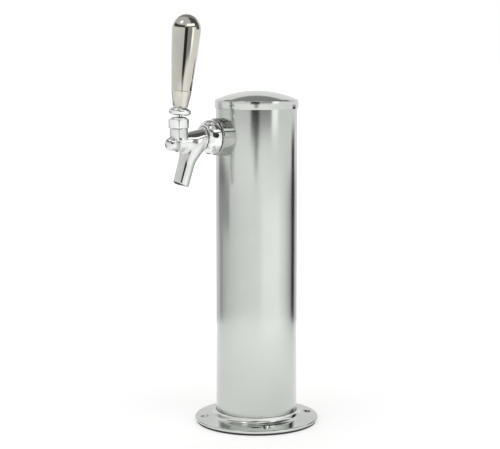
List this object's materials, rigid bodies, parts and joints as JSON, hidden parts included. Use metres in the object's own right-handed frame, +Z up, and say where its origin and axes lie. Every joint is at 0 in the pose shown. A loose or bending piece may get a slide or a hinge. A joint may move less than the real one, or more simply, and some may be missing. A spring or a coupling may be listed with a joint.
{
  "type": "beer tower dispenser",
  "caption": "Straight round column on a flange foot with a domed cap and one lever faucet, whose handle tips forward to slide the valve shaft back and pour.",
  "frame": {"origin": "on the counter, in the middle of the space that the object takes up seen from above", "axes": "+Z up along the column, -Y the way the faucet points, +X to the right of someone who stands behind the tower and looks along the faucet's back"},
  "size_m": [0.1174, 0.1576, 0.383],
  "materials": {
    "satin_steel": "satin polished stainless steel",
    "polished_steel": "mirror polished stainless steel",
    "chrome": "bright chrome plate",
    "warm_chrome": "bright plate with a slightly warm tone",
    "brass": "plain machined brass",
    "rubber": "matt black rubber",
    "nylon": "natural nylon",
    "foam": "dark closed-cell foam",
    "vinyl": "cloudy flexible tube"
  },
  "bodies": {
    "tower": {"base_gasket": "rubber", "base_flange": "polished_steel", "column_tube": "satin_steel", "insulation_sleeve": "foam", "shank": "chrome", "shank_collar": "chrome", "shank_washer": "nylon", "shank_lock_nut": "brass", "tail_washer": "rubber", "tail_elbow": "brass", "tail_nut": "brass", "beer_line": "vinyl", "hose_clamp_upper": "polished_steel", "hose_clamp_lower": "polished_steel", "line_tail": "brass", "line_nut": "brass", "coupling_nut": "chrome", "coupling_washer": "rubber", "faucet_body": "chrome", "ball_bushing": "nylon", "friction_washer": "nylon", "bonnet": "chrome"},
    "lever": {"ball_lever": "chrome", "lever_collar": "chrome", "handle_ferrule": "warm_chrome", "tap_handle": "warm_chrome", "handle_insert": "brass"},
    "valve": {"valve_shaft": "brass", "shaft_seal": "rubber", "shaft_nut": "brass"},
    "cap": {"top_cap": "polished_steel", "cap_grip_ring": "rubber"}
  },
  "joints": [
    {"name": "lever_pull", "type": "hinge", "parent": "tower", "child": "lever", "pos_m": [0, -0.06491, 0.2835], "axis": [1, 0, 0], "range_deg": [0, 25]},
    {"name": "shaft_slide", "type": "slide", "parent": "tower", "child": "valve", "axis": [0, 0.994, 0.1097], "range_m": [0, 0.0066]},
    {"name": "cap_lift", "type": "slide", "parent": "tower", "child": "cap", "axis": [0, 0, 1], "range_m": [0, 0.03]}
  ],
  "couplings": [
    {"joint": "shaft_slide", "follows": "lever_pull", "m_per_rad": 0.01487}
  ]
}
